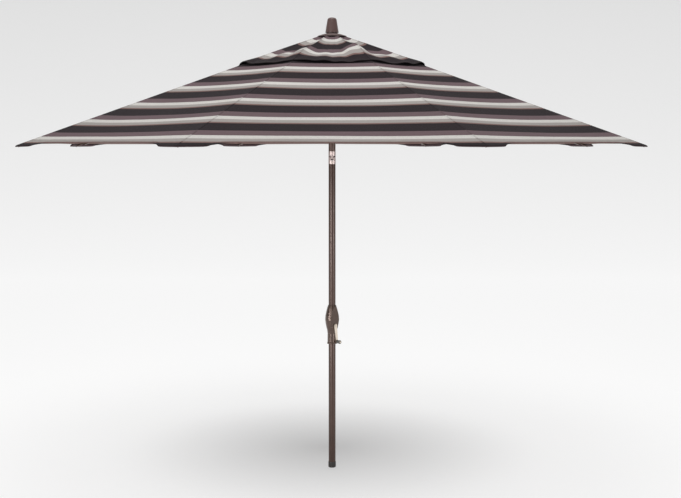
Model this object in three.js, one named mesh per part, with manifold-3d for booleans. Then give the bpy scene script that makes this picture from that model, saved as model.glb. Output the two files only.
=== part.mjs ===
// A crank-lift patio umbrella with a tilting top and eight folding ribs, in millimetres.
// +Z is up, the origin is the middle of the pole's foot, and -Y is the front.
import * as THREE from "three";
import { mergeVertices } from "three/addons/utils/BufferGeometryUtils.js";
import Module from "manifold-3d";

const wasm = await Module();
wasm.setup();

// Canopy
const RIBS = 8;
const SPAN_RADIUS = 1676; // pole axis to rib tip
const HEM_HEIGHT = 1766; // hem at a rib tip
const APEX_HEIGHT = 2381; // where the canopy's slope meets the axis
const SLOPE = (APEX_HEIGHT - HEM_HEIGHT) / SPAN_RADIUS;
const SLOPE_ANGLE = Math.atan(SLOPE);
const CLOTH = 1; // thickness of both cloth layers
const HEM_ARCH = 0.023; // share of the panel that the hem rises by between two ribs
const CANOPY_TOP_RADIUS = 300; // edge of the wind opening
const VENT_LIFT = 4; // the vent flap above the canopy
const VENT_TOP_RADIUS = 26;
const VENT_HEM_RADIUS = 515;
const VENT_BULGE = 0.065; // share that the flap's hem reaches out by between two ribs
const HALF_STEP = Math.PI / RIBS;
const PANEL_GAP = 0.6; // half the gap between two neighbouring gores

// Pole
const POLE_RADIUS = 19.05;
const POLE_WALL = 1.65;
const FIT = 0.3; // clearance between pieces that touch
const FOOT_HEIGHT = 32;
const FOOT_FLOOR = 4;

// Folding linkage: the ribs hang on the hub's ring and the struts on the runner's ring
const PIVOT_RADIUS = 50;
const HUB_PIVOT_HEIGHT = 2350;
const STRUT_LENGTH = 700;
const STRUT_DROP = 17; // strut pivot below the rib's centre line
const STRUT_ALONG = Math.sqrt(STRUT_LENGTH ** 2 - STRUT_DROP ** 2);
const STRUT_ANGLE = SLOPE_ANGLE + Math.asin(STRUT_DROP / STRUT_LENGTH);
const RUNNER_PIVOT_HEIGHT = HUB_PIVOT_HEIGHT - 2 * STRUT_LENGTH * Math.sin(STRUT_ANGLE);
const RING_WIRE = 1.5;
const RIB_LENGTH = 1716;
const RIB_BAR_END = 1652;
const RIB_TIP_RADIUS = 4;
const RIB_TIP_RISE = 4; // tip rod above the rib's centre line
const RIB_WIDTH = 14;
const RIB_DEPTH = 18;
const RIB_WALL = 1.4;
const RIB_START = 22;
const EYE_THICKNESS = 8;
const EYE_HOLE = 2.2;
const HUB_RADIUS = 56;
const RUNNER_RADIUS = 58;
const HUB_HALF_HEIGHT = 15;
const SLOT_WIDTH = 9.2;
const SLOT_FLOOR_RADIUS = 41;
const SLOT_REACH = 8.2; // from the pivot to the slot's closed side
const RUNNER_BORE = 21;

// Tilt joint
const TILT_HEIGHT = 1700;
const TILT_RADIUS = 19.6;
const TILT_LOW = 1667;
const TILT_HIGH = 1736;
const SHOULDER = 13.5; // pin to either shoulder
const KNUCKLE = 12.5;
const TONGUE_HALF = 7.2;
const BUTTON_HEIGHT = 1677;
const BUTTON_RADIUS = 4.4;
const BUTTON_FACE = -20.5;
const BUTTON_BACK = -9.7;
const BUTTON_BORE_END = 6;

// Crank
const CRANK_AZIMUTH = (-50 * Math.PI) / 180;
const CRANK_HEIGHT = 784;
const CRANK_RADIUS = 89;
const ARM_LEAN = (7 * Math.PI) / 180; // how far the arm hangs from straight down
const FACET = 24.5; // flat side of the housing that the arm turns on
const SHAFT_RADIUS = 5;
const CHAMBER_RADIUS = 17.5;
const HOUSING_LOW = 683;
const HOUSING_HIGH = 895;
const HOUSING_SKIN = 3;
const SEAM = 0.15; // half the gap between the housing's halves
const SCREW_OFFSET = 22.3;
const HOUSING_SCREWS = [
  { name: "housing_screw_lower", height: 722, head: 8 },
  { name: "housing_screw_upper", height: 872, head: 12 },
];

// Cord pulley
const PULLEY_HEIGHT = 2300;
const PULLEY_OFFSET = 9;
const PULLEY_RADIUS = 13;
const PULLEY_GROOVE = 10.8;

const COARSE = 16; // sides of a small turned piece
const FINE = 24; // sides of a large turned piece

const part = new THREE.Group();

// ---- Materials ----

const finish = (color, roughness, metalness) => () =>
  new THREE.MeshStandardMaterial({ color, roughness, metalness });
const bronze = finish(0x4b3730, 0.4, 0.5);
const taupe = finish(0xb9aaaa, 0.35, 0.7);
const silver = finish(0xd8cdc0, 0.3, 0.8);
const steel = finish(0xa8a8ac, 0.35, 0.9);
const darkPlastic = finish(0x2b2523, 0.55, 0);
const brownPlastic = finish(0x694641, 0.45, 0);
const greyPlastic = finish(0x6e6e6c, 0.5, 0);
const cloth = finish(0xa39a94, 0.9, 0);

// ---- Solids ----

// A closed three.js geometry as a manifold solid, turned outward if it faces in.
function solid(geometry) {
  const bare = geometry.clone();
  bare.deleteAttribute("normal");
  bare.deleteAttribute("uv");
  const merged = mergeVertices(bare, 1e-4);
  const vertProperties = merged.attributes.position.array;
  const triVerts = new Uint32Array(merged.index.array);
  const made = new wasm.Manifold(new wasm.Mesh({ numProp: 3, vertProperties, triVerts }));
  if (made.volume() > 0) return made;
  for (let i = 0; i < triVerts.length; i += 3) {
    [triVerts[i + 1], triVerts[i + 2]] = [triVerts[i + 2], triVerts[i + 1]];
  }
  return new wasm.Manifold(new wasm.Mesh({ numProp: 3, vertProperties, triVerts }));
}

function geometryOf(made) {
  const { numProp, numVert, vertProperties, triVerts } = made.getMesh();
  const positions = new Float32Array(numVert * 3);
  for (let i = 0; i < numVert; i++) {
    positions.set(vertProperties.subarray(i * numProp, i * numProp + 3), i * 3);
  }
  const geometry = new THREE.BufferGeometry();
  geometry.setAttribute("position", new THREE.BufferAttribute(positions, 3));
  geometry.setIndex(new THREE.BufferAttribute(new Uint32Array(triVerts), 1));
  geometry.computeVertexNormals();
  return geometry;
}

// A turned solid on the Z axis, from a closed outline of [radius, height] points.
function turned(outline, segments = COARSE) {
  const points = outline.map(([radius, height]) => new THREE.Vector2(radius, height));
  return solid(new THREE.LatheGeometry(points, segments).rotateX(Math.PI / 2));
}

// A rod or disc on the Z axis.
function rod(radius, low, high, segments = COARSE) {
  return turned([[0, low], [radius, low], [radius, high], [0, high]], segments);
}

function tube(inner, outer, low, high, segments = COARSE) {
  return turned([[inner, low], [outer, low], [outer, high], [inner, high], [inner, low]], segments);
}

// A turned solid or rod laid along X or Y instead of Z.
const alongX = (made) => made.rotate([0, 90, 0]);
const alongY = (made) => made.rotate([-90, 0, 0]);

function block(low, high) {
  const size = high.map((value, i) => value - low[i]);
  const middle = high.map((value, i) => (value + low[i]) / 2);
  return solid(new THREE.BoxGeometry(...size).translate(...middle));
}

// A plate in the XZ plane, centred on Y, from a shape drawn in x and z.
function plate(shape, thickness, curveSegments = 5) {
  const extruded = new THREE.ExtrudeGeometry(shape, {
    depth: thickness,
    bevelEnabled: false,
    curveSegments,
  });
  return solid(extruded.rotateX(Math.PI / 2).translate(0, thickness / 2, 0));
}

// The outline of two circles on the X axis joined by their common tangents.
function linkShape(x0, r0, x1, r1) {
  const lean = Math.acos((r0 - r1) / (x1 - x0));
  const shape = new THREE.Shape();
  shape.absarc(x0, 0, r0, lean, 2 * Math.PI - lean, false);
  shape.absarc(x1, 0, r1, -lean, lean, false);
  shape.closePath();
  return shape;
}

function drill(shape, x, radius) {
  const hole = new THREE.Path();
  hole.absarc(x, 0, radius, 0, 2 * Math.PI, true);
  shape.holes.push(hole);
  return shape;
}

function add(group, name, shape, material) {
  const geometry = shape.isBufferGeometry ? shape : geometryOf(shape);
  const mesh = new THREE.Mesh(geometry, material());
  mesh.name = name;
  group.add(mesh);
  return mesh;
}

// ---- Pole ----

function poleTube(low, high) {
  return tube(POLE_RADIUS - POLE_WALL, POLE_RADIUS, low, high, FINE);
}

function addPoles() {
  const capBore = POLE_RADIUS + FIT;
  const capRadius = POLE_RADIUS + 1.6;
  const footCap = turned(
    [
      [0, 0], [capRadius - 1.5, 0], [capRadius, 1.5], [capRadius, FOOT_HEIGHT],
      [capBore, FOOT_HEIGHT], [capBore, FOOT_FLOOR], [0, FOOT_FLOOR],
    ],
    FINE,
  );
  add(part, "foot_cap", footCap, darkPlastic);
  add(part, "lower_pole", poleTube(FOOT_FLOOR + FIT, 764), bronze);
  add(part, "middle_pole", poleTube(804, TILT_LOW - FIT), bronze);

  const wheelSlot = block([0, -4.6, PULLEY_HEIGHT - 16], [24, 4.6, PULLEY_HEIGHT + 16]);
  const axleHoles = alongY(rod(2.3, -30, 30, 12)).translate([PULLEY_OFFSET, 0, PULLEY_HEIGHT]);
  const upper = poleTube(TILT_HIGH + FIT, 2366).subtract(wheelSlot).subtract(axleHoles);
  add(part, "upper_pole", upper, bronze);
}

// ---- Tilt joint ----

function addTiltJoint() {
  const plug = POLE_RADIUS - POLE_WALL - FIT;
  const pinRadius = 4;
  const pinHole = alongX(rod(pinRadius + FIT, -30, 30)).translate([0, 0, TILT_HEIGHT]);
  const knuckle = alongX(rod(KNUCKLE, -30, 30, FINE)).translate([0, 0, TILT_HEIGHT]);

  const body = rod(TILT_RADIUS, TILT_LOW, TILT_HEIGHT - SHOULDER, FINE);
  const spigot = rod(plug, TILT_LOW - 40, TILT_LOW + 1);
  const column = rod(TILT_RADIUS, TILT_HEIGHT - SHOULDER - 1, TILT_HEIGHT + KNUCKLE + 1, FINE);
  const below = block([-30, -KNUCKLE, TILT_HEIGHT - SHOULDER - 1], [30, KNUCKLE, TILT_HEIGHT]);
  const middle = TONGUE_HALF + FIT;
  const gap = block([-middle, -30, TILT_HEIGHT - SHOULDER], [middle, 30, TILT_HEIGHT + 30]);
  const ears = column.intersect(knuckle.add(below)).subtract(gap);
  const buttonBore = alongY(rod(BUTTON_RADIUS + FIT, -30, BUTTON_BORE_END));
  const socket = body.add(spigot).add(ears).subtract(pinHole);
  const bored = socket.subtract(buttonBore.translate([0, 0, BUTTON_HEIGHT]));
  add(part, "tilt_socket", bored, taupe);

  const cap = rod(TILT_RADIUS, TILT_HEIGHT + SHOULDER, TILT_HIGH, FINE);
  const upperSpigot = rod(plug, TILT_HIGH - 1, TILT_HIGH + 34);
  const tongueDisc = alongX(rod(KNUCKLE - FIT, -TONGUE_HALF, TONGUE_HALF, FINE));
  const neck = block(
    [-TONGUE_HALF, -KNUCKLE + FIT, TILT_HEIGHT],
    [TONGUE_HALF, KNUCKLE - FIT, TILT_HEIGHT + SHOULDER + 1],
  );
  const tongue = tongueDisc.translate([0, 0, TILT_HEIGHT]).add(neck).add(cap).add(upperSpigot);
  add(part, "tilt_tongue", tongue.subtract(pinHole), taupe);

  const pin = alongX(rod(pinRadius, -16.5, 16.5)).translate([0, 0, TILT_HEIGHT]);
  add(part, "tilt_pin", pin, steel);

  const button = alongY(
    turned([
      [0, BUTTON_FACE], [BUTTON_RADIUS - 1, BUTTON_FACE], [BUTTON_RADIUS, BUTTON_FACE + 1],
      [BUTTON_RADIUS, BUTTON_BACK], [0, BUTTON_BACK],
    ]),
  );
  add(part, "tilt_button", button.translate([0, 0, BUTTON_HEIGHT]), silver);
  addButtonSpring();
}

function addButtonSpring() {
  const coil = { wire: 0.5, radius: 3, turns: 5, stepsPerTurn: 9 };
  const start = BUTTON_BACK + coil.wire + FIT;
  const length = BUTTON_BORE_END - coil.wire - FIT - start;
  class Helix extends THREE.Curve {
    getPoint(t) {
      const angle = t * coil.turns * 2 * Math.PI;
      const x = coil.radius * Math.cos(angle);
      const z = coil.radius * Math.sin(angle);
      return new THREE.Vector3(x, start + length * t, z);
    }
  }
  const section = new THREE.Shape();
  section.absarc(0, 0, coil.wire, 0, 2 * Math.PI, false);
  const wire = new THREE.ExtrudeGeometry(section, {
    steps: coil.turns * coil.stepsPerTurn,
    curveSegments: 3,
    extrudePath: new Helix(),
  });
  const spring = solid(wire).translate([0, 0, BUTTON_HEIGHT]);
  add(part, "button_spring", spring, steel);
}

// ---- Crank ----

// The housing's outside, from its lower lip to its upper neck.
const HOUSING_OUTLINE = [
  [27.5, HOUSING_LOW], [27.5, 688], [25.5, 693], [25, 740], [27, 756],
  [31, 770], [35, 790], [38.5, 814], [37, 836], [32.5, 858], [27.5, 878], [22, HOUSING_HIGH],
];

function addHousingHalf(side, name) {
  const bore = POLE_RADIUS + FIT + 0.05;
  const outside = turned([[0, HOUSING_LOW], ...HOUSING_OUTLINE, [0, HOUSING_HIGH]], FINE);
  const lowerBore = rod(bore, HOUSING_LOW - 1, 768, FINE);
  const upperBore = rod(bore, 800, HOUSING_HIGH + 1, FINE);
  const hollow = turned([
    [bore + HOUSING_SKIN, 802], [35 - HOUSING_SKIN, 802], [38.5 - HOUSING_SKIN, 814],
    [37 - HOUSING_SKIN, 834], [32.5 - HOUSING_SKIN, 851], [bore + HOUSING_SKIN, 853],
    [bore + HOUSING_SKIN, 802],
  ]);
  const turn = (made) => made.rotate([0, 0, (CRANK_AZIMUTH * 180) / Math.PI]);
  const raise = (made) => turn(made.translate([0, 0, CRANK_HEIGHT]));
  const chamber = raise(alongX(rod(CHAMBER_RADIUS, -18, 19)));
  const shaftEnd = raise(alongX(rod(SHAFT_RADIUS + FIT, -24.6, 0)));
  const bushingBore = raise(alongX(rod(8 + FIT, 10, FACET + 5)));
  const facet = turn(block([FACET, -60, HOUSING_LOW - 1], [60, 60, HOUSING_HIGH + 1]));
  const facetSkin = turn(block([FACET - HOUSING_SKIN, -60, 800], [60, 60, 870]));
  const low = [Math.min(SEAM * side, 60 * side), -60, HOUSING_LOW - 1];
  const high = [Math.max(SEAM * side, 60 * side), 60, HOUSING_HIGH + 1];
  let half = outside.intersect(block(low, high));
  const inside = [lowerBore, upperBore, hollow.subtract(facetSkin), chamber, shaftEnd];
  for (const cut of [...inside, bushingBore, facet]) half = half.subtract(cut);
  for (const { height, head } of HOUSING_SCREWS) {
    const shank = alongX(rod(1.8, -40, 40, 12)).translate([0, SCREW_OFFSET, height]);
    const recess = alongX(rod(3.1, -40, -head, 12)).translate([0, SCREW_OFFSET, height]);
    half = half.subtract(shank).subtract(recess);
  }
  add(part, name, half, bronze);
}

function addCrank() {
  addHousingHalf(-1, "crank_housing_left");
  addHousingHalf(1, "crank_housing_right");
  for (const { name, height, head } of HOUSING_SCREWS) {
    const shank = rod(1.5, -head - 1, 9, 10);
    const screw = rod(2.8, -head - 1.8, -head - FIT, 12).add(shank);
    add(part, name, alongX(screw).translate([0, SCREW_OFFSET, height]), steel);
  }

  const crank = new THREE.Group();
  crank.position.z = CRANK_HEIGHT;
  crank.rotation.z = CRANK_AZIMUTH;
  part.add(crank);

  const bushing = turned([
    [SHAFT_RADIUS + FIT, 19.3], [8, 19.3], [8, FACET + FIT], [10.5, FACET + FIT],
    [10.5, FACET + 1.3], [SHAFT_RADIUS + FIT, FACET + 1.3], [SHAFT_RADIUS + FIT, 19.3],
  ]);
  add(crank, "crank_bushing", alongX(bushing), darkPlastic);

  const arm = { low: FACET + 1.7, high: FACET + 6.2 };
  const shaft = rod(SHAFT_RADIUS, -24, arm.high).subtract(rod(2.3, 14, arm.high + 1, 12));
  add(crank, "crank_shaft", alongX(shaft), steel);

  const core = SHAFT_RADIUS + FIT;
  const spool = turned([
    [core, -15], [16, -15], [16, -12.5], [9, -12.5], [9, 12.5], [16, 12.5], [16, 15],
    [core, 15], [core, -15],
  ]);
  add(crank, "cord_spool", alongX(spool), darkPlastic);

  const screw = rod(2, 18, arm.high + 1, 12).add(
    turned([
      [0, arm.high + FIT], [6.5, arm.high + FIT], [6.5, arm.high + 1.6], [4.6, arm.high + 3],
      [0, arm.high + 3.4],
    ]),
  );
  add(crank, "crank_screw", alongX(screw), steel);

  const thickness = arm.high - arm.low;
  const bar = plate(drill(linkShape(0, 9.5, CRANK_RADIUS, 6.5), 0, SHAFT_RADIUS + FIT), thickness, 8);
  const hung = bar.rotate([0, 90, 0]).rotate([0, 0, 90]).rotate([0, 0, 180]);
  const knobPin = rod(3.5, arm.high - 1, arm.high + 26).add(
    turned([
      [0, arm.high + 25.6], [5.5, arm.high + 25.6], [5.5, arm.high + 27], [3, arm.high + 28.4],
      [0, arm.high + 28.6],
    ]),
  );
  const pinAtEnd = alongX(knobPin).translate([0, 0, -CRANK_RADIUS]);
  const armBar = hung.translate([(arm.low + arm.high) / 2, 0, 0]).add(pinAtEnd);
  const lean = (made) => made.rotate([(ARM_LEAN * 180) / Math.PI, 0, 0]);
  add(crank, "crank_arm", lean(armBar), silver);

  const knobLow = arm.high + 0.5;
  const knobHigh = arm.high + 25.2;
  const knob = turned([
    [3.9, knobLow], [8, knobLow], [9.5, knobLow + 3], [8.6, knobLow + 12], [10.5, knobHigh - 4],
    [9, knobHigh], [3.9, knobHigh], [3.9, knobLow],
  ]);
  const knobInPlace = alongX(knob).translate([0, 0, -CRANK_RADIUS]);
  add(crank, "crank_knob", lean(knobInPlace), greyPlastic);
}

// ---- Hub, runner and pulley ----

// A slotted disc around the pole, with its slots open towards `open` (1 up, -1 down).
function slottedDisc(disc, open) {
  let made = disc;
  for (let i = 0; i < RIBS; i++) {
    const near = [SLOT_FLOOR_RADIUS, -SLOT_WIDTH / 2, -SLOT_REACH * open];
    const far = [RUNNER_RADIUS + 5, SLOT_WIDTH / 2, (HUB_HALF_HEIGHT + 40) * open];
    const low = near.map((value, axis) => Math.min(value, far[axis]));
    const high = near.map((value, axis) => Math.max(value, far[axis]));
    made = made.subtract(block(low, high).rotate([0, 0, ribDegrees(i)]));
  }
  const inner = PIVOT_RADIUS - RING_WIRE - FIT;
  const outer = PIVOT_RADIUS + RING_WIRE + FIT;
  const floor = -(RING_WIRE + FIT) * open;
  const mouth = (HUB_HALF_HEIGHT + 40) * open;
  const groove = tube(inner, outer, Math.min(floor, mouth), Math.max(floor, mouth), FINE);
  return made.subtract(groove);
}

const ribDegrees = (i) => ((i + 0.5) * 360) / RIBS;

function ringWire() {
  const sides = 6;
  const outline = [];
  for (let i = 0; i <= sides; i++) {
    const angle = (i * 2 * Math.PI) / sides;
    outline.push([PIVOT_RADIUS + RING_WIRE * Math.cos(angle), RING_WIRE * Math.sin(angle)]);
  }
  return turned(outline, FINE);
}

function addHub() {
  const bore = POLE_RADIUS + FIT;
  const disc = turned(
    [
      [bore, -HUB_HALF_HEIGHT], [HUB_RADIUS, -HUB_HALF_HEIGHT], [HUB_RADIUS, 10.5],
      [40, HUB_HALF_HEIGHT], [bore, HUB_HALF_HEIGHT], [bore, -HUB_HALF_HEIGHT],
    ],
    FINE,
  );
  const hub = slottedDisc(disc, -1).translate([0, 0, HUB_PIVOT_HEIGHT]);
  add(part, "top_hub", hub, darkPlastic);
  add(part, "hub_ring", ringWire().translate([0, 0, HUB_PIVOT_HEIGHT]), steel);

  const hubTop = HUB_PIVOT_HEIGHT + HUB_HALF_HEIGHT;
  const collarTop = hubTop + 4.8;
  const stud = 7;
  const plug = POLE_RADIUS - POLE_WALL - FIT;
  const collar = turned(
    [
      [stud + FIT, hubTop - 30], [plug, hubTop - 30], [plug, hubTop + 1.5], [32, hubTop + 1.5],
      [34, hubTop + 2.5], [34, collarTop - 1], [33, collarTop], [stud + FIT, collarTop],
      [stud + FIT, hubTop - 30],
    ],
    FINE,
  );
  add(part, "canopy_collar", collar, darkPlastic);

  const base = hubTop + 11.3;
  const finial = turned(
    [
      [0, hubTop - 25], [stud, hubTop - 25], [stud, base], [31.5, base], [31.5, base + 4],
      [36, base + 4], [36.5, base + 5.5], [25.5, base + 73], [24, base + 79], [18, base + 84.5],
      [9, base + 87.3], [0, base + 88],
    ],
    FINE,
  );
  add(part, "finial", finial, brownPlastic);
}

function addPulley() {
  const axle = alongY(rod(2, -18, 18, 12)).translate([PULLEY_OFFSET, 0, PULLEY_HEIGHT]);
  add(part, "pulley_axle", axle, steel);
  const wheel = turned([
    [2.4, -4], [PULLEY_RADIUS, -4], [PULLEY_RADIUS, -3], [PULLEY_GROOVE, -1.2],
    [PULLEY_GROOVE, 1.2], [PULLEY_RADIUS, 3], [PULLEY_RADIUS, 4], [2.4, 4], [2.4, -4],
  ]);
  add(part, "cord_pulley", alongY(wheel).translate([PULLEY_OFFSET, 0, PULLEY_HEIGHT]), darkPlastic);
}

function addRunner() {
  const sleeve = turned(
    [
      [RUNNER_BORE, -30], [28.5, -30], [30, -28.5], [30, -23], [27, -20], [27, -16],
      [RUNNER_RADIUS - 4, -HUB_HALF_HEIGHT], [RUNNER_RADIUS, -HUB_HALF_HEIGHT + 3],
      [RUNNER_RADIUS, HUB_HALF_HEIGHT], [RUNNER_BORE, HUB_HALF_HEIGHT], [RUNNER_BORE, -30],
    ],
    FINE,
  );
  const runner = slottedDisc(sleeve, 1).translate([0, 0, RUNNER_PIVOT_HEIGHT]);
  add(part, "runner", runner, darkPlastic);
  add(part, "runner_ring", ringWire().translate([0, 0, RUNNER_PIVOT_HEIGHT]), steel);
}

// ---- Ribs and struts, drawn along +X from their pivot ----

function ribSolid() {
  const half = RIB_WIDTH / 2;
  const depth = RIB_DEPTH / 2;
  const bar = block([RIB_START, -half, -depth], [RIB_BAR_END, half, depth]);
  const hollow = block(
    [60, -half + RIB_WALL, -depth + RIB_WALL],
    [RIB_BAR_END + 1, half - RIB_WALL, depth - RIB_WALL],
  );
  const tipRod = alongX(rod(RIB_TIP_RADIUS, RIB_BAR_END - 12, RIB_LENGTH, 10));
  const tip = tipRod.translate([0, 0, RIB_TIP_RISE]);
  const eye = plate(drill(linkShape(0, 7, RIB_START + 8, 6), 0, EYE_HOLE), EYE_THICKNESS);

  const cheekShape = new THREE.Shape();
  cheekShape.moveTo(-18, STRUT_DROP - depth + 0.5);
  cheekShape.lineTo(-6.5, -1.5);
  cheekShape.absarc(0, 0, 7, Math.PI + 0.3, 2 * Math.PI - 0.3, false);
  cheekShape.lineTo(18, STRUT_DROP - depth + 0.5);
  cheekShape.closePath();
  const cheek = plate(cheekShape, 2.5).translate([STRUT_ALONG, 0, -STRUT_DROP]);
  const cheekOffset = EYE_THICKNESS / 2 + FIT + 1.25;
  const pin = alongY(rod(2.5, -cheekOffset, cheekOffset, 10));
  const bracket = cheek
    .translate([0, cheekOffset, 0])
    .add(cheek.translate([0, -cheekOffset, 0]))
    .add(pin.translate([STRUT_ALONG, 0, -STRUT_DROP]));
  return bar.add(eye).subtract(hollow).add(tip).add(bracket);
}

function strutSolid() {
  const shape = linkShape(0, 6, STRUT_LENGTH, 6.001);
  drill(shape, 0, 2.9);
  drill(shape, STRUT_LENGTH, EYE_HOLE);
  return plate(shape, EYE_THICKNESS);
}

function addRibsAndStruts() {
  const rib = geometryOf(ribSolid());
  const strut = geometryOf(strutSolid());
  for (let i = 0; i < RIBS; i++) {
    const spoke = new THREE.Group();
    spoke.rotation.z = (ribDegrees(i) * Math.PI) / 180;
    part.add(spoke);
    const number = i + 1;

    const ribMesh = add(spoke, "rib_" + number, rib, bronze);
    ribMesh.position.set(PIVOT_RADIUS, 0, HUB_PIVOT_HEIGHT);
    ribMesh.rotation.y = SLOPE_ANGLE;

    const reach = PIVOT_RADIUS + STRUT_LENGTH * Math.cos(STRUT_ANGLE);
    const height = HUB_PIVOT_HEIGHT - STRUT_LENGTH * Math.sin(STRUT_ANGLE);
    const strutMesh = add(spoke, "strut_" + number, strut, bronze);
    strutMesh.position.set(reach, 0, height);
    strutMesh.rotation.y = Math.PI - STRUT_ANGLE;
  }
}

// ---- Cloth: one gore over each rib, out to the middle of the panels beside it ----

// A thin slab over the rib on +X between two radii, lifted by `lift`, with `rows` steps outward.
// Half way to the next rib, the hem reaches out by the share `bulge`.
function goreSolid(inner, outer, bulge, lift, rows) {
  const columns = 3;
  const surface = [];
  for (let row = 0; row <= rows; row++) {
    for (let column = -columns; column <= columns; column++) {
      const across = column / columns;
      const arch = row === rows ? 1 + bulge * across * across : 1;
      const radius = (inner + ((outer - inner) * row) / rows) * arch;
      const middle = radius * Math.cos(HALF_STEP);
      const tipX = radius;
      const edgeX = middle * Math.cos(HALF_STEP) + PANEL_GAP * Math.sin(HALF_STEP);
      const edgeY = middle * Math.sin(HALF_STEP) - PANEL_GAP * Math.cos(HALF_STEP);
      const share = Math.abs(across);
      const x = tipX + (edgeX - tipX) * share;
      const y = edgeY * across;
      surface.push(new THREE.Vector3(x, y, APEX_HEIGHT + lift - SLOPE * radius));
    }
  }
  const width = 2 * columns + 1;
  const count = surface.length;
  const positions = [];
  for (const point of surface) positions.push(point.x, point.y, point.z);
  for (const point of surface) positions.push(point.x, point.y, point.z - CLOTH);
  const index = [];
  const quad = (a, b, c, d) => index.push(a, b, c, a, c, d);
  for (let row = 0; row < rows; row++) {
    for (let column = 0; column < width - 1; column++) {
      const corner = row * width + column;
      quad(corner, corner + width, corner + width + 1, corner + 1);
      quad(corner + count, corner + 1 + count, corner + width + 1 + count, corner + width + count);
    }
    const left = row * width;
    const right = left + width - 1;
    quad(left, left + count, left + width + count, left + width);
    quad(right, right + width, right + width + count, right + count);
  }
  for (let column = 0; column < width - 1; column++) {
    const last = rows * width + column;
    quad(column, column + 1, column + 1 + count, column + count);
    quad(last, last + count, last + 1 + count, last + 1);
  }
  const geometry = new THREE.BufferGeometry();
  geometry.setAttribute("position", new THREE.Float32BufferAttribute(positions, 3));
  geometry.setIndex(index);
  return solid(geometry);
}

function addCloth() {
  const main = geometryOf(goreSolid(CANOPY_TOP_RADIUS, SPAN_RADIUS, -HEM_ARCH, 0, 3));
  const vent = geometryOf(
    goreSolid(VENT_TOP_RADIUS, VENT_HEM_RADIUS, VENT_BULGE, VENT_LIFT, 2),
  );
  for (let i = 0; i < RIBS; i++) {
    const spoke = new THREE.Group();
    spoke.rotation.z = (ribDegrees(i) * Math.PI) / 180;
    part.add(spoke);
    add(spoke, "canopy_" + (i + 1), main, cloth);
    add(spoke, "vent_" + (i + 1), vent, cloth);
  }
}

addPoles();
addTiltJoint();
addCrank();
addHub();
addPulley();
addRunner();
addRibsAndStruts();
addCloth();

export default part;
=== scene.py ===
"""A striped crank-lift patio umbrella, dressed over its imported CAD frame.

Lengths are in metres, and angles in radians unless a comment says degrees.
"""

import math

import bpy
from mathutils import Matrix, Vector


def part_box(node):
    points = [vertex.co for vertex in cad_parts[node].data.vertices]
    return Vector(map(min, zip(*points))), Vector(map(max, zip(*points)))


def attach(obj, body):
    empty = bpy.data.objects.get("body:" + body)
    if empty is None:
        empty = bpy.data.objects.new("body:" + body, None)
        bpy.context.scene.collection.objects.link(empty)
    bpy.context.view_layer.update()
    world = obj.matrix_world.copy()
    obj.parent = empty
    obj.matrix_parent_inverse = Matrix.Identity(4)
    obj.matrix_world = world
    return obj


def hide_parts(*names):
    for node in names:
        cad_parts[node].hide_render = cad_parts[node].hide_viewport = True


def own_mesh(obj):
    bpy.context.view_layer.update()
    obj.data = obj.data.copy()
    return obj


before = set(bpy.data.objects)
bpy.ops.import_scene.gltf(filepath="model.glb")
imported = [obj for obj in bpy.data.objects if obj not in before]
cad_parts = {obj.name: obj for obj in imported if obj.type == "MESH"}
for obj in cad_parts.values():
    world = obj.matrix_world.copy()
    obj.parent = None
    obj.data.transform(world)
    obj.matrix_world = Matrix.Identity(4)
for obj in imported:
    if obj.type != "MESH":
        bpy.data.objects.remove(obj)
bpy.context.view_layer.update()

RIBS = 8
HALF_STEP = math.pi / RIBS


# Driving sizes, read from the frame or repeated from the design. The cloth is laid out in shares of the
# slope, from 0 at the apex to 1 at the hem over a rib.
CANOPY_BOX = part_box("canopy_1")
SPAN = CANOPY_BOX[1].x / math.cos(HALF_STEP)
CAD_CLOTH = 0.001
HEM_Z = CANOPY_BOX[0].z + CAD_CLOTH
APEX_Z = 2.381
SLOPE = (APEX_Z - HEM_Z) / SPAN
CANOPY_TOP = 0.300 / SPAN
VENT_LIFT = 0.004
VENT_TOP = 0.046 / SPAN
VENT_HEM = 0.515 / SPAN
VENT_BULGE = 0.065
PANEL_MIDLINE = SPAN * math.cos(HALF_STEP) * math.hypot(1, SLOPE / math.cos(HALF_STEP))


# ---- Camera ----

CAMERA_DISTANCE = 6.285
CAMERA_LENS = 60.85
CAMERA_SHIFT = -0.100
CAMERA_PITCH = math.radians(1.742)
CAMERA_YAW = math.radians(0.42)

camera_data = bpy.data.cameras.new("camera")
camera_data.lens = CAMERA_LENS
camera_data.shift_y = CAMERA_SHIFT
camera_data.clip_end = 60
camera = bpy.data.objects.new("camera", camera_data)
bpy.context.scene.collection.objects.link(camera)
camera.location = (0, -CAMERA_DISTANCE, HEM_Z)
camera.rotation_euler = (math.pi / 2 - CAMERA_PITCH, 0, -CAMERA_YAW)
bpy.context.scene.camera = camera


# ---- Materials ----


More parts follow.
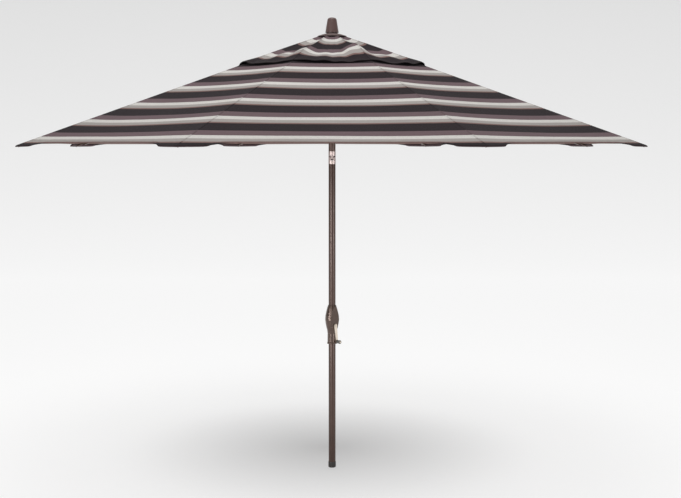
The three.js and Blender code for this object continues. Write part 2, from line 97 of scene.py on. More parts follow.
class Nodes:
    """A material's node tree, with short calls for the nodes that the finishes share."""

    def __init__(self, name):
        self.material = bpy.data.materials.new(name)
        self.material.use_nodes = True
        self.tree = self.material.node_tree
        self.shader = self.tree.nodes["Principled BSDF"]

    def add(self, kind, **values):
        node = self.tree.nodes.new(kind)
        for key, value in values.items():
            setattr(node, key, value)
        return node

    def link(self, source, target):
        self.tree.links.new(source, target)

    def math(self, operation, a, b=None, c=None):
        node = self.tree.nodes.new("ShaderNodeMath")
        node.operation = operation
        for socket, value in zip(node.inputs, (a, b, c), strict=False):
            if isinstance(value, (int, float)):
                socket.default_value = value
            elif value is not None:
                self.link(value, socket)
        return node.outputs[0]

    def mix(self, kind, factor, a, b):
        node = self.tree.nodes.new("ShaderNodeMix")
        node.data_type = "RGBA"
        node.blend_type = kind
        for socket, value in ((node.inputs[0], factor), (node.inputs[6], a), (node.inputs[7], b)):
            if isinstance(value, (int, float)):
                socket.default_value = value
            elif isinstance(value, tuple):
                socket.default_value = (*value, 1)
            else:
                self.link(value, socket)
        return node.outputs[2]

    def noise(self, scale, detail, vector=None):
        node = self.tree.nodes.new("ShaderNodeTexNoise")
        node.inputs["Scale"].default_value = scale
        node.inputs["Detail"].default_value = detail
        if vector is None:
            vector = self.tree.nodes.new("ShaderNodeTexCoord").outputs["Object"]
        self.link(vector, node.inputs["Vector"])
        return node.outputs[0]

    def spread(self, value, low, high, from_low=0.3, from_high=0.7):
        node = self.tree.nodes.new("ShaderNodeMapRange")
        self.link(value, node.inputs[0])
        for socket, number in zip(node.inputs[1:5], (from_low, from_high, low, high), strict=True):
            socket.default_value = number
        return node.outputs[0]

    def bump(self, height, distance, strength=1.0):
        node = self.tree.nodes.new("ShaderNodeBump")
        node.inputs["Distance"].default_value = distance
        node.inputs["Strength"].default_value = strength
        self.link(height, node.inputs["Height"])
        self.link(node.outputs[0], self.shader.inputs["Normal"])

    def set(self, **values):
        for key, value in values.items():
            self.shader.inputs[key.replace("_", " ")].default_value = value


def srgb(r, g, b):
    """A display colour from 0 to 255 as linear light."""
    return tuple(((v / 255 + 0.055) / 1.055) ** 2.4 for v in (r, g, b))


FLECK = 0.12
SKIN_DEPTH = 0.00006


def coated(name, colour, roughness, metal, grain=420.0, coat=0.0):
    """Paint, plastic or metal: a speckled colour, uneven gloss and a fine skin texture."""
    n = Nodes(name)
    cloudy = n.noise(9.0, 4.0)
    fine = n.noise(grain, 2.0)
    shade = n.math("ADD", n.spread(cloudy, 1 - FLECK, 1 + FLECK), n.spread(fine, -FLECK / 2, FLECK / 2))
    n.link(n.mix("MULTIPLY", 1.0, colour, shade), n.shader.inputs["Base Color"])
    n.link(n.spread(cloudy, roughness - 0.07, roughness + 0.07), n.shader.inputs["Roughness"])
    n.bump(fine, SKIN_DEPTH, 0.6)
    n.set(Metallic=metal, Coat_Weight=coat, Coat_Roughness=0.25)
    return n.material


def brushed(name, colour, roughness):
    """Bare metal with fine scratches round its length."""
    n = Nodes(name)
    place = n.add("ShaderNodeTexCoord").outputs["Object"]
    squash = n.add("ShaderNodeMapping")
    squash.inputs["Scale"].default_value = (60, 60, 1800)
    n.link(place, squash.inputs["Vector"])
    scratch = n.noise(1.0, 3.0, squash.outputs[0])
    cloudy = n.noise(30.0, 3.0)
    shade = n.math("ADD", n.spread(scratch, 0.9, 1.08), n.spread(cloudy, -0.06, 0.06))
    n.link(n.mix("MULTIPLY", 1.0, colour, shade), n.shader.inputs["Base Color"])
    n.link(n.spread(scratch, roughness - 0.08, roughness + 0.1), n.shader.inputs["Roughness"])
    n.bump(scratch, 0.00005, 0.5)
    n.set(Metallic=0.85)
    return n.material


# One repeat of the stripes, from the white band down the slope: share of the repeat, colour.
STRIPES = (
    (0.160, srgb(214, 211, 206)),
    (0.150, srgb(167, 161, 157)),
    (0.060, srgb(130, 105, 100)),
    (0.385, srgb(44, 37, 40)),
    (0.245, srgb(111, 93, 97)),
)
STRIPE_REPEAT = 0.2362
CANOPY_STRIPE = PANEL_MIDLINE - 0.1035
VENT_STRIPE = 0.368

# The weave: pitch of the threads, and noise scales across and along a thread.
THREAD = 0.0011
ACROSS_THREAD = 900.0
ALONG_THREAD = 45.0


def striped_cloth(name, white_middle, shade=1.0):
    """Woven canopy cloth with a white band's middle at that distance from the apex. Its UVs are metres. A
    shade below 1 darkens the cloth as painted shade.
    """
    n = Nodes(name)
    uv = n.add("ShaderNodeUVMap", uv_map="cloth").outputs[0]
    parts = n.add("ShaderNodeSeparateXYZ")
    n.link(uv, parts.inputs[0])
    across, down = parts.outputs[0], parts.outputs[1]
    wander = n.spread(n.noise(3.0, 2.0, uv), -0.0012, 0.0012)
    placed = n.math("ADD", down, wander)
    start = white_middle - (12 + 0.5 * STRIPES[0][0]) * STRIPE_REPEAT
    phase = n.math("FRACT", n.math("DIVIDE", n.math("SUBTRACT", placed, start), STRIPE_REPEAT))
    ramp = n.add("ShaderNodeValToRGB")
    ramp.color_ramp.interpolation = "CONSTANT"
    at = 0.0
    while len(ramp.color_ramp.elements) < len(STRIPES):
        ramp.color_ramp.elements.new(0.5)
    for element, (share, colour) in zip(ramp.color_ramp.elements, STRIPES, strict=True):
        element.position = at
        element.color = (*colour, 1)
        at += share
    n.link(phase, ramp.inputs[0])

    threads = n.add("ShaderNodeCombineXYZ")
    n.link(n.math("MULTIPLY", across, ACROSS_THREAD), threads.inputs[0])
    n.link(n.math("MULTIPLY", down, ALONG_THREAD), threads.inputs[1])
    warp = n.noise(1.0, 2.0, threads.outputs[0])
    picks = n.add("ShaderNodeCombineXYZ")
    n.link(n.math("MULTIPLY", across, ALONG_THREAD), picks.inputs[0])
    n.link(n.math("MULTIPLY", down, ACROSS_THREAD), picks.inputs[1])
    weft = n.noise(1.0, 2.0, picks.outputs[0])
    heather = n.math("ADD", n.spread(warp, -0.09, 0.09), n.spread(weft, -0.07, 0.07))
    weather = n.spread(n.noise(1.7, 3.0, uv), 0.955, 1.035)
    tone = n.math("MULTIPLY", n.math("ADD", heather, weather), shade)
    n.link(n.mix("MULTIPLY", 1.0, ramp.outputs[0], tone), n.shader.inputs["Base Color"])

    turn = 2 * math.pi / THREAD
    over = n.math("SINE", n.math("MULTIPLY", across, turn))
    under = n.math("SINE", n.math("MULTIPLY", down, turn))
    height = n.math("ADD", n.math("MULTIPLY", over, under), n.math("ADD", warp, weft))
    n.bump(height, 0.00022, 0.45)
    n.link(n.spread(weft, 0.78, 0.94), n.shader.inputs["Roughness"])
    n.set(Sheen_Weight=0.02, Sheen_Roughness=0.5, Specular_IOR_Level=0.12)
    return n.material


def plain_cloth(name, colour, pitch):
    """Webbing, tape or thread: one dyed colour with a ribbed weave."""
    n = Nodes(name)
    fibre = n.noise(1 / pitch, 2.0)
    cloudy = n.noise(12.0, 3.0)
    shade = n.math("ADD", n.spread(fibre, -0.16, 0.16), n.spread(cloudy, 0.92, 1.08))
    n.link(n.mix("MULTIPLY", 1.0, colour, shade), n.shader.inputs["Base Color"])
    n.bump(fibre, pitch * 0.25, 0.7)
    n.set(Roughness=0.9, Sheen_Weight=0.03, Specular_IOR_Level=0.15)
    return n.material


BRONZE = coated("bronze_powder_coat", srgb(80, 57, 48), 0.36, 0.3, coat=0.1)
HOUSING = coated("bronze_gloss_coat", srgb(88, 68, 58), 0.27, 0.6, grain=260.0, coat=0.6)
BLACK = coated("black_plastic", srgb(48, 41, 38), 0.5, 0.0, grain=700.0)
BROWN = coated("brown_plastic", srgb(98, 74, 70), 0.42, 0.0, grain=600.0, coat=0.15)
GREY = coated("grey_plastic", srgb(120, 118, 114), 0.48, 0.0, grain=800.0)
TAUPE = brushed("taupe_metal", srgb(186, 170, 166), 0.42)
SILVER = brushed("pale_silver", srgb(232, 220, 205), 0.36)
STEEL = brushed("zinc_steel", srgb(176, 176, 180), 0.34)
CANOPY_CLOTH = striped_cloth("striped_canopy_cloth", CANOPY_STRIPE)
# Darker copies of the cloth for the seams and the canopy's hems: painted shade of the creases over the ribs
# and along the hem.
SHADED_CANOPY_SEAM = striped_cloth("striped_canopy_seam_painted_shade", CANOPY_STRIPE, 0.84)
VENT_CLOTH = striped_cloth("striped_vent_cloth", VENT_STRIPE)
SHADED_VENT_SEAM = striped_cloth("striped_vent_seam_painted_shade", VENT_STRIPE, 0.84)
THREAD_DARK = plain_cloth("dark_thread", srgb(88, 76, 74), 0.0012)
# The flap's hem binding is a dark dyed tape that also stands in for the shadow under the flap's lifted hem:
# partly painted shade.
BINDING_AND_PAINTED_SHADE = plain_cloth("dark_binding_and_painted_shade", srgb(46, 40, 41), 0.0016)
POCKET_CLOTH = plain_cloth("dark_pocket_cloth", srgb(72, 55, 58), 0.0013)
PATCH_CLOTH = plain_cloth("taupe_patch_cloth", srgb(108, 94, 92), 0.0013)


# ---- Mesh helpers ----


def mesh_object(name, points, faces, material, uvs=None, sharp=None):
    """A mesh piece from its points and faces, smooth except at edges sharper than `sharp` degrees."""
    mesh = bpy.data.meshes.new(name)
    mesh.from_pydata([tuple(p) for p in points], [], faces)
    if uvs is not None:
        layer = mesh.uv_layers.new(name="cloth")
        for loop in mesh.loops:
            layer.data[loop.index].uv = uvs[loop.vertex_index]
    mesh.materials.append(material)
    mesh.shade_smooth()
    if sharp is not None:
        mesh.set_sharp_from_angle(angle=math.radians(sharp))
    mesh.update()
    piece = bpy.data.objects.new(name, mesh)
    bpy.context.scene.collection.objects.link(piece)
    return piece


def grid_faces(rows, columns, first=0, wrap=False):
    """Quads over rows x columns points, row by row."""
    faces = []
    for row in range(rows - 1):
        for column in range(columns if wrap else columns - 1):
            a = first + row * columns + column
            b = first + row * columns + (column + 1) % columns
            faces.append((a, b, b + columns, a + columns))
    return faces


def thicken(piece, thickness):
    """Grows the cloth downwards from its top surface."""
    solidify = piece.modifiers.new("thickness", "SOLIDIFY")
    solidify.thickness = thickness
    solidify.offset = -1.0
    solidify.use_even_offset = False


def apply_modifiers(piece):
    """Keeps the piece's shape with its modifiers and drops them."""
    graph = bpy.context.evaluated_depsgraph_get()
    mesh = bpy.data.meshes.new_from_object(piece.evaluated_get(graph), depsgraph=graph)
    piece.modifiers.clear()
    piece.data = mesh


def round_corners(outline, radius=0.0012, steps=3):
    """A closed or open outline of (radius, height) points with its corners rounded."""
    points = [Vector(p) for p in outline]
    made = [points[0]]
    for before, corner, after in zip(points, points[1:], points[2:], strict=False):
        into = before - corner
        out = after - corner
        reach = min(radius, into.length * 0.45, out.length * 0.45)
        a = corner + into.normalized() * reach
        b = corner + out.normalized() * reach
        for i in range(steps + 1):
            t = i / steps
            made.append(a * (1 - t) ** 2 + corner * 2 * t * (1 - t) + b * t**2)
    made.append(points[-1])
    return made


# Faces round a turned piece, a radius that counts as none, and the degrees from which an edge stays sharp
# or gets a bevel.
SEGMENTS = 56
ON_AXIS = 1e-7
SHARP = 35
BEVELLED = 50


def turned(name, outline, material, rounding=0.0012):
    """A turned piece about +Z from an outline that starts and ends on the axis or closes on itself."""
    closed = (Vector(outline[0]) - Vector(outline[-1])).length < ON_AXIS
    rows = round_corners(outline, rounding)
    if closed:
        rows = rows[:-1]
    points = []
    starts = []
    for radius, height in rows:
        starts.append(len(points))
        count = 1 if radius < ON_AXIS else SEGMENTS
        for i in range(count):
            angle = 2 * math.pi * i / SEGMENTS
            points.append(Vector((radius * math.cos(angle), radius * math.sin(angle), height)))
    faces = []
    order = list(range(len(rows)))
    pairs = list(zip(order, order[1:] + order[:1], strict=True))
    if not closed:
        pairs = pairs[:-1]
    for low, high in pairs:
        low_one = rows[low][0] < ON_AXIS
        high_one = rows[high][0] < ON_AXIS
        for i in range(SEGMENTS):
            j = (i + 1) % SEGMENTS
            a, b = starts[low], starts[high]
            if low_one and high_one:
                continue
            if low_one:
                faces.append((a, b + j, b + i))
            elif high_one:
                faces.append((a + i, a + j, b))
            else:
                faces.append((a + i, a + j, b + j, b + i))
    return mesh_object(name, points, faces, material, sharp=SHARP)


def dress(node, material, edge=0.0):
    """Gives a kept CAD node its finish, smooth shading and, with `edge`, softened edges that wide."""
    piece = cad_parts[node]
    if not piece.material_slots:
        piece.data.materials.append(material)
    for slot in piece.material_slots:
        slot.material = material
    piece.data.shade_smooth()
    piece.data.set_sharp_from_angle(angle=math.radians(SHARP))
    if edge:
        bevel = piece.modifiers.new("edge", "BEVEL")
        bevel.width = edge
        bevel.segments = 2
        bevel.limit_method = "ANGLE"
        bevel.angle_limit = math.radians(BEVELLED)
        bevel.harden_normals = True


# ---- Cloth ----


def rib_azimuth(number):
    """Angle of a rib round the pole from +X. The front, -Y, lies between two ribs."""
    return (number - 0.5) * 2 * math.pi / RIBS


def spoke(number):
    """Turns a point drawn over +X onto the rib of that number."""
    return Matrix.Rotation(rib_azimuth(number), 4, "Z")


def arch(across):
    """0 over a rib, 1 half way to the next."""
    return abs(across) * (2 - abs(across))


WOVEN = 0.0007
CANOPY_SAG = 0.009
CANOPY_RIPPLE = 0.0022
HEM_ARCH = 0.0235
LOBE_START = 0.18
LOBE_END = 0.30
LOBE_SHARE = 0.72
VENT_RISE = 0.004
VENT_SWAG = 0.011
VENT_FLUTTER = 0.012

# Rows along a gore and columns on each side of its rib, and the degrees from which a fold stays sharp.
CANOPY_GRID = (44, 20)
VENT_GRID = (26, 24)
CREASE = 50

# Sewing: stitches, seams, hems and the pockets at the rib tips. The seams stop a little inside the cloth,
# and their stitches run at a share of the seam's half width.
STITCH = 0.0042
STITCH_GAP = 0.0032
STITCH_RADIUS = 0.00042
STITCH_LIFT = 0.0011
STITCH_LINE = 0.62
STITCH_STEPS = 20
SEAM_HALF = 0.0065
SEAM_HEIGHT = 0.0018
SEAM_LIFT = 0.0004
SEAM_END = 0.998
HEM_WIDTH = 0.022
VENT_HEM_WIDTH = 0.015
POCKET_REACH = 0.21
POCKET_DEPTH = 0.034
POCKET_DROP = 0.003

# The flap's larger rumples: azimuth in degrees, radius, height, and half widths in degrees and metres.
RUMPLES = (
    (-158, 0.52, 0.010, 14, 0.07), (-132, 0.42, 0.012, 7, 0.06), (-116, 0.38, 0.016, 8, 0.07),
    (-104, 0.50, 0.010, 6, 0.05), (-76, 0.40, 0.014, 6, 0.07), (-68, 0.34, 0.024, 9, 0.09),
    (-48, 0.45, 0.012, 7, 0.06), (-20, 0.52, 0.009, 14, 0.07), (15, 0.44, 0.009, 10, 0.07),
    (62, 0.36, 0.020, 9, 0.08), (98, 0.44, 0.014, 8, 0.06), (121, 0.38, 0.018, 8, 0.07),
    (163, 0.45, 0.008, 11, 0.07),
)


def smooth_noise(a, b):
    """A slow wave that repeats round the canopy, from -1 to 1."""
    slow = math.sin(3 * a + 5.1 * b + 0.4)
    middling = math.sin(7 * a - 9.3 * b + 2.1) * 0.6
    quick = math.sin(13 * a + 17 * b) * 0.35
    return (slow + middling + quick) / 1.95


def place_on_cloth(number, across, share):
    """Radius along the rib, place beside it and azimuth round the pole, before any sag.

    `across` runs from -1 to 1 between the middles of the rib's two panels.
    """
    radius = share * SPAN
    x = radius * (1 - abs(across) * math.sin(HALF_STEP) ** 2)
    y = radius * math.cos(HALF_STEP) * math.sin(HALF_STEP) * across
    return radius, x, y, rib_azimuth(number) + math.atan2(y, x)


def canopy_point(number, across, share):
    """The canopy's top surface over one rib, with the sag of its panels."""
    radius, x, y, azimuth = place_on_cloth(number, across, share)
    sag = CANOPY_SAG * arch(across) * math.sin(math.pi * min(1, share) ** 2)
    ripple = CANOPY_RIPPLE * arch(across) * smooth_noise(azimuth, share * 3) * share
    return Vector((x, y, APEX_Z - SLOPE * radius - sag + ripple))


def vent_point(number, across, share):
    """The wind flap's top surface, with its rumples and the folds of its loose hem."""
    radius, x, y, azimuth = place_on_cloth(number, across, share)
    out = min(1, share / VENT_HEM)
    loose = out**1.5
    rise = VENT_RISE * (1 - arch(across)) ** 1.5 * math.sin(math.pi * loose)
    folds = math.sin(azimuth * 16 + 1.6 * math.sin(azimuth * 3 + 0.7) + 5 * share) * 0.6
    folds += math.sin(azimuth * 27 + 2.2 * math.sin(azimuth * 5 + 1) - 8 * share) * 0.4
    flutter = VENT_FLUTTER * (0.5 + 0.5 * folds) * loose * (0.4 + 0.6 * arch(across))
    swag = VENT_SWAG * arch(across) * math.sin(math.pi * out)
    for degrees, middle_radius, height, wide, long in RUMPLES:
        turn = math.remainder(azimuth - math.radians(degrees), 2 * math.pi) / math.radians(wide)
        rise += height * math.exp(-turn * turn - ((radius - middle_radius) / long) ** 2)
    return Vector((x, y, APEX_Z + VENT_LIFT - SLOPE * radius + rise + flutter - swag))


def cloth_uv(across, share):
    """Metres across the panel and down its middle, for the weave and the stripes."""
    return (across * share * SPAN * math.sin(HALF_STEP), share * PANEL_MIDLINE)


def vent_uv(across, share):
    """The flap's stripes bow outward with its hem."""
    u, v = cloth_uv(across, share)
    return (u, v / (1 + VENT_BULGE * arch(across)))


def hem_share(across, vent):
    """Where the cloth ends: the canopy's hem steps and arches up between two ribs, the flap's reaches out."""
    if vent:
        return VENT_HEM * (1 + VENT_BULGE * arch(across))
    step = min(1, max(0, (abs(across) - LOBE_START) / (LOBE_END - LOBE_START)))
    lobe = step * step * (3 - 2 * step)
    return 1 - HEM_ARCH * (LOBE_SHARE * lobe + (1 - LOBE_SHARE) * arch(across))


def gore(name, number, vent, low, rows, columns):
    """The cloth over one rib, out to the middle of the panel on each side."""
    surface = vent_point if vent else canopy_point
    uv = vent_uv if vent else cloth_uv
    points = []
    uvs = []
    for row in range(rows + 1):
        for column in range(-columns, columns + 1):
            across = column / columns
            share = low + (hem_share(across, vent) - low) * row / rows
            points.append(spoke(number) @ surface(number, across, share))
            uvs.append(uv(across, share))
    cloth = VENT_CLOTH if vent else CANOPY_CLOTH
    piece = mesh_object(name, points, grid_faces(rows + 1, 2 * columns + 1), cloth, uvs)
    thicken(piece, WOVEN)
    apply_modifiers(piece)
    piece.data.set_sharp_from_angle(angle=math.radians(CREASE))
    return piece


def follow_rib(piece, number, squash=True):
    """The piece moves with its rib, and with `squash` it gets a mesh of its own."""
    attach(piece, f"rib_{number}")
    if squash:
        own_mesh(piece)


def seam_ridge(name, number, vent, low, high, rows, steps=6):
    """A low rounded ridge along the rib line, from share low to high."""
    surface = vent_point if vent else canopy_point
    uv = vent_uv if vent else cloth_uv
    points = []
    uvs = []
    for row in range(rows + 1):
        share = low + (high - low) * row / rows
        for step in range(steps + 1):
            turn = step / steps * 2 - 1
            across = turn * SEAM_HALF / (share * SPAN * math.cos(HALF_STEP) * math.sin(HALF_STEP))
            lift = SEAM_HEIGHT * math.cos(turn * math.pi / 2) + SEAM_LIFT
            points.append(spoke(number) @ (surface(number, across, share) + Vector((0, 0, lift))))
            uvs.append(uv(across, share))
    # The seam ridge takes the darker copy of the cloth: painted shade of the crease over the rib.
    cloth = SHADED_VENT_SEAM if vent else SHADED_CANOPY_SEAM
    return mesh_object(name, points, grid_faces(rows + 1, steps + 1), cloth, uvs)


def stitches(name, number, surface, path):
    """A row of stitches over a surface along a path of (across, share) points."""
    route = [spoke(number) @ (surface(number, a, s) + Vector((0, 0, STITCH_LIFT))) for a, s in path]
    points = []
    faces = []
    left = 0.0
    for start, end in zip(route, route[1:], strict=False):
        span = (end - start).length
        along = (end - start).normalized()
        side = along.cross(Vector((0, 0, 1))).normalized() * STITCH_RADIUS
        up = side.cross(along).normalized() * STITCH_RADIUS
        at = left
        while at + STITCH < span:
            first = len(points)
            for reach, size in ((0, 0.4), (0.25, 1), (0.75, 1), (1, 0.4)):
                centre = start + along * (at + STITCH * reach)
                points += [centre + side * size, centre + up * size]
                points += [centre - side * size, centre - up * size]
            faces += grid_faces(4, 4, first, wrap=True)
            faces.append((first + 3, first + 2, first + 1, first))
            faces.append((first + 12, first + 13, first + 14, first + 15))
            at += STITCH + STITCH_GAP
        left = max(0.0, at - span)
    return mesh_object(name, points, faces, THREAD_DARK)


def hem_band(name, number, vent, columns):
    """The folded hem of a gore: a band on top of the cloth that rolls round its edge."""
    surface = vent_point if vent else canopy_point
    width = VENT_HEM_WIDTH if vent else HEM_WIDTH
    profile = (
        (-1.0, 0.0003), (-0.97, 0.0014), (-0.5, 0.0016), (-0.08, 0.0015), (0.02, 0.0002), (-0.04, -0.0014),
    )
    points = []
    uvs = []
    for column in range(-columns, columns + 1):
        across = column / columns
        for inward, lift in profile:
            share = hem_share(across, vent) + inward * width / SPAN
            points.append(spoke(number) @ (surface(number, across, share) + Vector((0, 0, lift))))
            uvs.append(cloth_uv(across, share))
    faces = [tuple(reversed(f)) for f in grid_faces(2 * columns + 1, len(profile))]
    # A canopy hem takes the darker copy of the cloth: painted shade along the hem's edge.
    return mesh_object(name, points, faces, BINDING_AND_PAINTED_SHADE if vent else SHADED_CANOPY_SEAM, uvs)


def add_cloth(number, vent):
    """One rib's gore with its hem, its seam and the seam's two rows of stitches."""
    label = "vent" if vent else "canopy"
    surface = vent_point if vent else canopy_point
    low, high = (VENT_TOP, VENT_HEM) if vent else (CANOPY_TOP, 1.0)
    rows, columns = VENT_GRID if vent else CANOPY_GRID
    piece = gore(f"{label}_gore_{number}", number, vent, low, rows, columns)
    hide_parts(f"{label}_{number}")
    follow_rib(piece, number)

    start = low + (0.008 if vent else 0.002)
    end = high * SEAM_END
    seam = seam_ridge(f"{label}_seam_{number}", number, vent, start, end, 30 if vent else 60)
    follow_rib(seam, number, squash=False)
    half = 2 * SEAM_HALF / (SPAN * math.sin(2 * HALF_STEP))
    for side, word in ((-1, "left"), (1, "right")):
        shares = [start + (end - start) * i / STITCH_STEPS for i in range(STITCH_STEPS + 1)]
        path = [(side * STITCH_LINE * half / s, s) for s in shares]
        row = stitches(f"{label}_seam_stitch_{number}_{word}", number, surface, path)
        row.parent = seam
    follow_rib(hem_band(f"{label}_hem_{number}", number, vent, columns), number)


def rib_pocket(number, columns=14):
    """The doubled cloth at a rib's tip: it hangs a little under the hem and hides the rib's end."""
    points = []
    uvs = []
    for column in range(-columns, columns + 1):
        turn = column / columns
        across = POCKET_REACH * turn
        full = (1 - turn**6) ** 0.5
        section = (
            (-POCKET_DEPTH, -0.0012), (0.0006, -0.0002), (0.0014, -0.0016 - 0.002 * full),
            (0.0006, -0.002 - POCKET_DROP * full), (-0.004, -0.0024 - POCKET_DROP * full),
            (-POCKET_DEPTH, -0.0024 - POCKET_DROP * full),
        )
        for outward, lift in section:
            share = hem_share(across, False) + outward / SPAN
            points.append(spoke(number) @ (canopy_point(number, across, share) + Vector((0, 0, lift))))
            uvs.append(cloth_uv(across, share))
    faces = [tuple(reversed(f)) for f in grid_faces(2 * columns + 1, len(section))]
    follow_rib(mesh_object(f"rib_pocket_{number}", points, faces, POCKET_CLOTH, uvs), number)


def make_gores():
    """Canopy, flap and rib pocket for every rib."""
    for number in range(1, RIBS + 1):
        add_cloth(number, vent=False)
        add_cloth(number, vent=True)
        rib_pocket(number)


make_gores()


# ---- Hardware ----

TOP_BODY = "top"
POLE_BODY = "pole"
POLE_RADIUS = (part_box("lower_pole")[1].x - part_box("lower_pole")[0].x) / 2
POLE_WALL = 0.00165
FINIAL_HEIGHT = 0.0878
FINIAL_STUD = 0.007
PATCH_INNER = 0.0315
PATCH_OUTER = 0.079
PATCH_RISE = 0.0058
SOFT_EDGE = 0.0006


def pole_tube(node, body):
    """A rounder tube in place of the CAD one."""
    low, high = (corner.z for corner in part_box(node))
    bore = POLE_RADIUS - POLE_WALL
    outline = [(bore, low), (POLE_RADIUS, low), (POLE_RADIUS, high), (bore, high), (bore, low)]
    piece = turned(f"{node}_tube", outline, BRONZE, rounding=0.0004)
    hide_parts(node)
    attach(piece, body)


def foot_cap():
    """The plastic cap that closes the pole's foot."""
    low, high = (corner.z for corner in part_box("foot_cap"))
    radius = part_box("foot_cap")[1].x
    bore = POLE_RADIUS + 0.0003
    outline = [
        (0, low), (radius * 0.8, low), (radius, low + 0.003), (radius, high - 0.004), (radius - 0.0006, high),
        (bore, high), (bore, low + 0.004), (0, low + 0.004),
    ]
    piece = turned("pole_foot_cap", outline, BLACK)
    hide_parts("foot_cap")
    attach(piece, POLE_BODY)


def finial():
    """The tapered knob on its stud, with a step over the cloth patch."""
    low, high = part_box("finial")
    base = high.z - FINIAL_HEIGHT
    outline = [
        (0, low.z), (FINIAL_STUD, low.z), (FINIAL_STUD, base), (0.0312, base), (0.0312, base + 0.004),
        (0.0355, base + 0.004), (0.0365, base + 0.0060), (0.0358, base + 0.0100), (0.0256, base + 0.0730),
        (0.0240, base + 0.0790), (0.0180, base + 0.0845), (0.0090, base + 0.0873), (0, high.z),
    ]
    piece = turned("finial_knob", outline, BROWN, rounding=0.0035)
    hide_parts("finial")
    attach(piece, TOP_BODY)


BARS = tuple(f"{kind}_{number}" for kind in ("rib", "strut") for number in range(1, RIBS + 1))
FINISHES = (
    (BRONZE, (*BARS, "upper_pole")),
    (HOUSING, ("crank_housing_left", "crank_housing_right")),
    (BLACK, ("top_hub", "runner", "canopy_collar", "crank_bushing", "cord_spool", "cord_pulley")),
    (GREY, ("crank_knob",)),
    (TAUPE, ("tilt_socket", "tilt_tongue")),
    (SILVER, ("tilt_button", "crank_screw", "crank_arm")),
    (STEEL, ("tilt_pin", "button_spring", "crank_shaft", "hub_ring", "runner_ring", "pulley_axle")),
    (STEEL, ("housing_screw_lower", "housing_screw_upper")),
)
SOFT_EDGED = (
    *BARS, "tilt_socket", "tilt_tongue", "crank_arm", "runner", "top_hub", "canopy_collar", "crank_knob",
    "crank_housing_left", "crank_housing_right",
)


def dress_frame():
    """Finishes every CAD node that stays in sight or inside."""
    for material, nodes in FINISHES:
        for node in nodes:
            dress(node, material, edge=SOFT_EDGE if node in SOFT_EDGED else 0.0)


def apex_patch():
    """The round cloth patch over the crown, clamped under the finial."""
    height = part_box("canopy_collar")[1].z + PATCH_RISE
    outline = [
        (PATCH_INNER, height), (0.042, height - 0.0012), (0.056, height - 0.0050),
        (PATCH_OUTER, height - 0.0128), (PATCH_OUTER + 0.0014, height - 0.0168),
        (PATCH_OUTER - 0.0012, height - 0.0160), (0.055, height - 0.0070), (0.041, height - 0.0030),
        (PATCH_INNER, height - 0.0018), (PATCH_INNER, height),
    ]
    piece = turned("apex_patch", outline, PATCH_CLOTH, rounding=0.002)
    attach(piece, TOP_BODY)


dress_frame()
apex_patch()
pole_tube("lower_pole", POLE_BODY)
pole_tube("middle_pole", POLE_BODY)
foot_cap()
finial()


# ---- Floor, backdrop and light ----

# The stage's glow, with a painted shadow: a darker pool in the glow on the floor round the umbrella's foot.
PAINTED_SHADOW_X = -0.03
PAINTED_SHADOW_Y = 0.42
PAINTED_SHADOW_RADIUS = 1.2
PAINTED_SHADOW_DEPTH = 0.38
GLOW_LOW = 0.74
GLOW_HIGH = 0.46
WALL_HEIGHT = 6.0

# The floor's near edge, where its cove starts, the cove's radius and the top and half width of the wall.
FLOOR_NEAR = -14
COVE_START = 9
COVE_RADIUS = 4
COVE_STEPS = 12
WALL_TOP = 16
STAGE_HALF = 30
STRIP_ASIDE = 2.1
STRIP_WIDTH = 0.7
STRIP_HEIGHT = 1.6


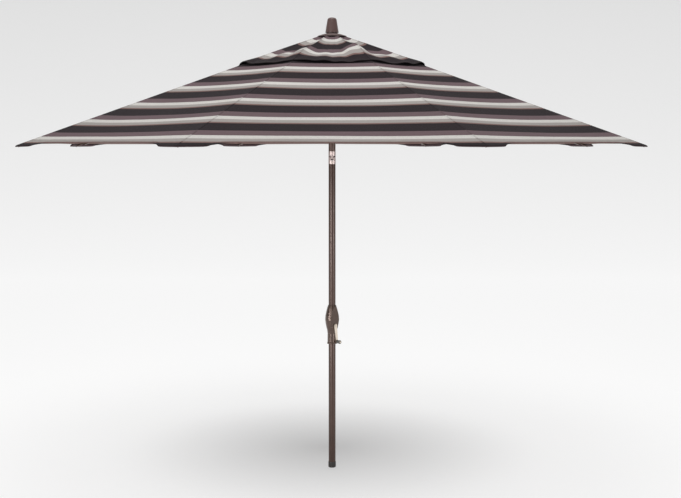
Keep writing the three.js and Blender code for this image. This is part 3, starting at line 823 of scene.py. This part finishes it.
def stage_material(name, colour):
    """Pale matt board that glows a little, less so up the wall, and with a painted shadow in its glow round
    the umbrella's foot.
    """
    n = Nodes(name)
    cloudy = n.spread(n.noise(0.6, 2.0), 0.995, 1.005)
    n.link(n.mix("MULTIPLY", 1.0, colour, cloudy), n.shader.inputs["Base Color"])
    parts = n.add("ShaderNodeSeparateXYZ")
    n.link(n.add("ShaderNodeTexCoord").outputs["Object"], parts.inputs[0])
    x, y, z = parts.outputs
    # Painted shadow: the glow dims over a soft disc round a point a little behind the umbrella's foot.
    beside = n.math("POWER", n.math("SUBTRACT", x, PAINTED_SHADOW_X), 2)
    behind = n.math("POWER", n.math("SUBTRACT", y, PAINTED_SHADOW_Y), 2)
    away = n.math("SQRT", n.math("ADD", beside, behind))
    painted_shadow = n.math("SMOOTH_MIN", 1.0, n.math("MULTIPLY", away, 1 / PAINTED_SHADOW_RADIUS), 0.3)
    glow = n.math("SUBTRACT", n.spread(z, GLOW_LOW, GLOW_HIGH, 0.0, WALL_HEIGHT), PAINTED_SHADOW_DEPTH)
    n.link(n.math("ADD", glow, n.math("MULTIPLY", painted_shadow, PAINTED_SHADOW_DEPTH)), n.shader.inputs["Emission Strength"])
    n.set(Roughness=0.9, Specular_IOR_Level=0.1, Emission_Color=(1, 1, 1, 1))
    return n.material


def make_stage():
    """A floor that curves up into a wall far behind."""
    profile = [(FLOOR_NEAR, 0), (COVE_START, 0)]
    for i in range(1, COVE_STEPS + 1):
        angle = i / COVE_STEPS * math.pi / 2
        profile.append((COVE_START + COVE_RADIUS * math.sin(angle), COVE_RADIUS * (1 - math.cos(angle))))
    profile.append((COVE_START + COVE_RADIUS, WALL_TOP))
    points = [Vector((x, y, z)) for y, z in profile for x in (-STAGE_HALF, STAGE_HALF)]
    board = stage_material("pale_floor", (0.34, 0.34, 0.34))
    mesh_object("floor", points, grid_faces(len(profile), 2), board)


def area_light(name, place, target, size, power):
    """A round lamp at a place, aimed at a target."""
    data = bpy.data.lights.new(name, "AREA")
    data.shape = "DISK"
    data.size = size
    data.energy = power
    lamp = bpy.data.objects.new(name, data)
    bpy.context.scene.collection.objects.link(lamp)
    lamp.location = place
    lamp.rotation_euler = (Vector(target) - Vector(place)).to_track_quat("-Z", "Y").to_euler()
    return lamp


def make_light():
    """A lamp overhead, a soft one in front and two tall strips that only show as gloss on the hardware."""
    world = bpy.data.worlds.new("studio")
    bpy.context.scene.world = world
    world.use_nodes = True
    background = world.node_tree.nodes["Background"]
    background.inputs["Color"].default_value = (1.0, 1.0, 1.0, 1)
    background.inputs["Strength"].default_value = 0.34
    area_light("overhead", (0, -1.2, 6.5), (0, 0.2, 0), 4.2, 150)
    area_light("front_fill", (-2.5, -6.5, 3.2), (0, 0, 1.6), 4.0, 45)
    for name, side, power in (("strip_left", -1, 80), ("strip_right", 1.6, 60)):
        strip = area_light(name, (side * STRIP_ASIDE, -3.0, 1.1), (0, 0, 0.9), STRIP_WIDTH, power)
        strip.data.shape = "RECTANGLE"
        strip.data.size_y = STRIP_HEIGHT
        strip.visible_diffuse = False
    bpy.context.scene.view_settings.view_transform = "Standard"


make_stage()
make_light()
